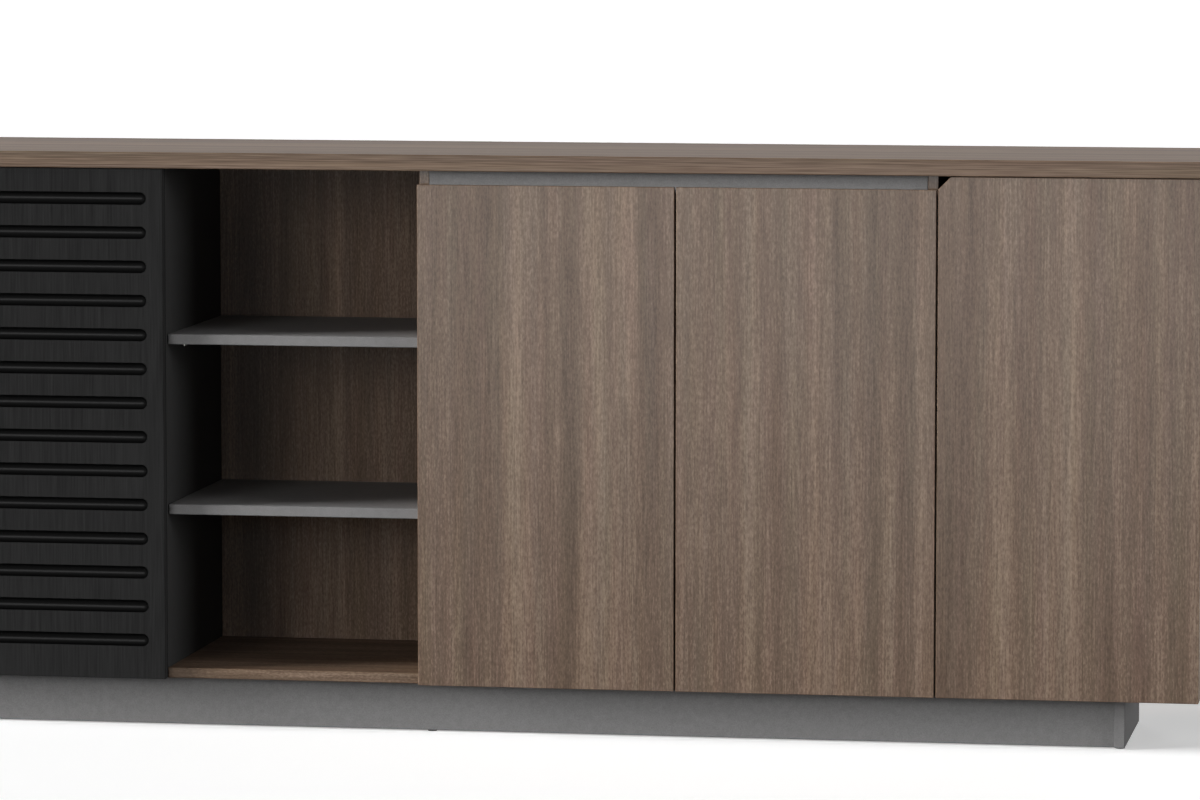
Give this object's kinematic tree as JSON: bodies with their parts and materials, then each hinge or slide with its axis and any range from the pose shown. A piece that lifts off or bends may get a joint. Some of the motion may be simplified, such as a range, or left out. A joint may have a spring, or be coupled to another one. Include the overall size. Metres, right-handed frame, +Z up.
{
  "type": "office credenza",
  "caption": "Long low office cabinet on a recessed plinth: coved black door, open bay with shelves, pair of doors under a finger gap, end door with a cut corner.",
  "frame": {"origin": "on the floor, at the middle of the length and of the depth of the top", "axes": "+X along the length, to the right as a user in front sees it; +Y from the front to the rear, so the doors face -Y; +Z up"},
  "size_m": [2.1, 0.4, 0.9],
  "materials": {
    "walnut_laminate": "satin melamine with a grey walnut grain",
    "black_door_laminate": "matt black with a fine upright grain",
    "black_laminate": "matt black melamine",
    "grey_laminate": "matt mid-grey melamine",
    "nickelled_steel": "nickel-plated pressed steel",
    "black_plastic": "black moulded plastic",
    "soft_stop": "translucent soft plastic"
  },
  "bodies": {
    "carcass": {"bay_back_panel": "walnut_laminate", "bay_bottom_board": "walnut_laminate", "bay_lower_shelf": "grey_laminate", "bay_shelf_brackets": "nickelled_steel", "bay_upper_shelf": "grey_laminate", "end_back_panel": "walnut_laminate", "end_bottom_board": "walnut_laminate", "end_door_hinge_arms": "nickelled_steel", "end_door_hinge_plates": "nickelled_steel", "end_lower_shelf": "walnut_laminate", "end_shelf_brackets": "nickelled_steel", "end_upper_shelf": "walnut_laminate", "grip_rail": "grey_laminate", "latch_housing": "black_plastic", "left_door_hinge_arms": "nickelled_steel", "left_door_hinge_plates": "nickelled_steel", "left_end_panel": "black_laminate", "louvre_back_panel": "black_laminate", "louvre_bottom_board": "black_laminate", "louvre_door_hinge_arms": "nickelled_steel", "louvre_door_hinge_plates": "nickelled_steel", "louvre_lower_shelf": "black_laminate", "louvre_shelf_brackets": "nickelled_steel", "louvre_side_panel": "black_laminate", "louvre_upper_shelf": "black_laminate", "pair_back_panel": "walnut_laminate", "pair_bottom_board": "walnut_laminate", "pair_left_side_panel": "walnut_laminate", "pair_lower_shelf": "walnut_laminate", "pair_right_side_panel": "walnut_laminate", "pair_shelf_brackets": "nickelled_steel", "pair_upper_shelf": "walnut_laminate", "plinth_front_board": "grey_laminate", "plinth_glides": "black_plastic", "plinth_left_bearer": "grey_laminate", "plinth_left_board": "grey_laminate", "plinth_middle_bearer": "grey_laminate", "plinth_rear_board": "grey_laminate", "plinth_right_bearer": "grey_laminate", "plinth_right_board": "grey_laminate", "right_door_hinge_arms": "nickelled_steel", "right_door_hinge_plates": "nickelled_steel", "right_end_panel": "walnut_laminate", "top_panel": "walnut_laminate"},
    "louvre_door_leaf": {"latch_strike": "nickelled_steel", "louvre_door": "black_door_laminate", "louvre_door_hinge_cups": "nickelled_steel", "louvre_door_stops": "soft_stop"},
    "left_door_leaf": {"left_door": "walnut_laminate", "left_door_hinge_cups": "nickelled_steel", "left_door_stops": "soft_stop"},
    "right_door_leaf": {"right_door": "walnut_laminate", "right_door_hinge_cups": "nickelled_steel", "right_door_stops": "soft_stop"},
    "end_door_leaf": {"end_door": "walnut_laminate", "end_door_hinge_cups": "nickelled_steel", "end_door_stops": "soft_stop"},
    "latch_rod": {"latch_plunger": "black_plastic"}
  },
  "joints": [
    {"name": "louvre_door_hinge", "type": "hinge", "parent": "carcass", "child": "louvre_door_leaf", "pos_m": [-1.044, -0.196, 0.48], "axis": [0, 0, -1], "range_deg": [0, 95]},
    {"name": "left_door_hinge", "type": "hinge", "parent": "carcass", "child": "left_door_leaf", "pos_m": [-0.144, -0.196, 0.48], "axis": [0, 0, -1], "range_deg": [0, 95]},
    {"name": "right_door_hinge", "type": "hinge", "parent": "carcass", "child": "right_door_leaf", "pos_m": [0.644, -0.196, 0.48], "axis": [0, 0, 1], "range_deg": [0, 95]},
    {"name": "end_door_hinge", "type": "hinge", "parent": "carcass", "child": "end_door_leaf", "pos_m": [1.044, -0.196, 0.48], "axis": [0, 0, 1], "range_deg": [0, 95]},
    {"name": "latch_travel", "type": "slide", "parent": "carcass", "child": "latch_rod", "axis": [0, -1, 0], "range_m": [0, 0.014]}
  ],
  "couplings": [
    {"joint": "latch_travel", "follows": "louvre_door_hinge", "m_per_rad": 0.0084}
  ]
}
